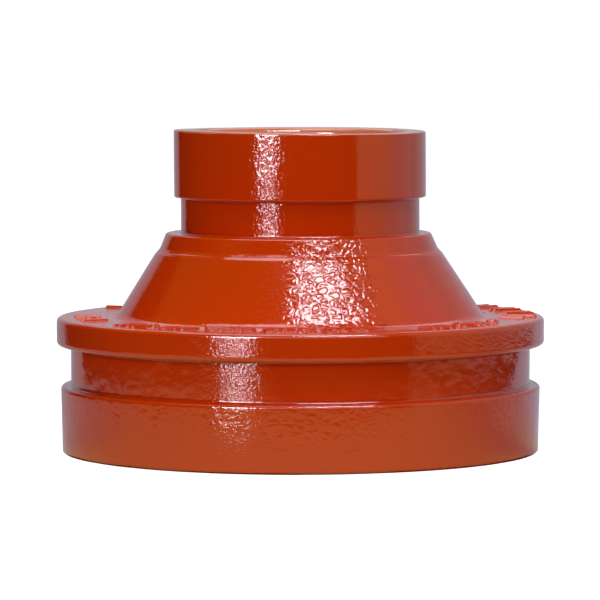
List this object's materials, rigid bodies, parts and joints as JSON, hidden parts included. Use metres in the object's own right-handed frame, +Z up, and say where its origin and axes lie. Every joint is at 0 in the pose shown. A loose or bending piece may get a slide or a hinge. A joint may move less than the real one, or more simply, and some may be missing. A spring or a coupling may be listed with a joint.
{
  "type": "grooved pipe reducer",
  "caption": "Cast-iron pipe reducer in red enamel: two grooved ends on one axis, joined by a short cone standing on a flat shoulder flange.",
  "frame": {"origin": "centre of the large end's face, where the fitting stands on a bench", "axes": "+Z up the pipe axis, from the large end to the small end; -Y is the front, +X the right"},
  "size_m": [0.1168, 0.1168, 0.0767],
  "materials": {
    "enamelled_iron": "glossy orange-red enamel with orange peel over a bumpy casting"
  },
  "bodies": {
    "root": {"large_gasket_seat": "enamelled_iron", "large_groove_neck": "enamelled_iron", "shoulder_flange": "enamelled_iron", "cone_body": "enamelled_iron", "cone_collar": "enamelled_iron", "small_groove_neck": "enamelled_iron", "small_gasket_seat": "enamelled_iron", "cast_marks_front": "enamelled_iron", "cast_marks_right": "enamelled_iron", "cast_marks_left": "enamelled_iron", "cast_pads_right": "enamelled_iron", "cast_pad_rear_left": "enamelled_iron"}
  },
  "joints": []
}
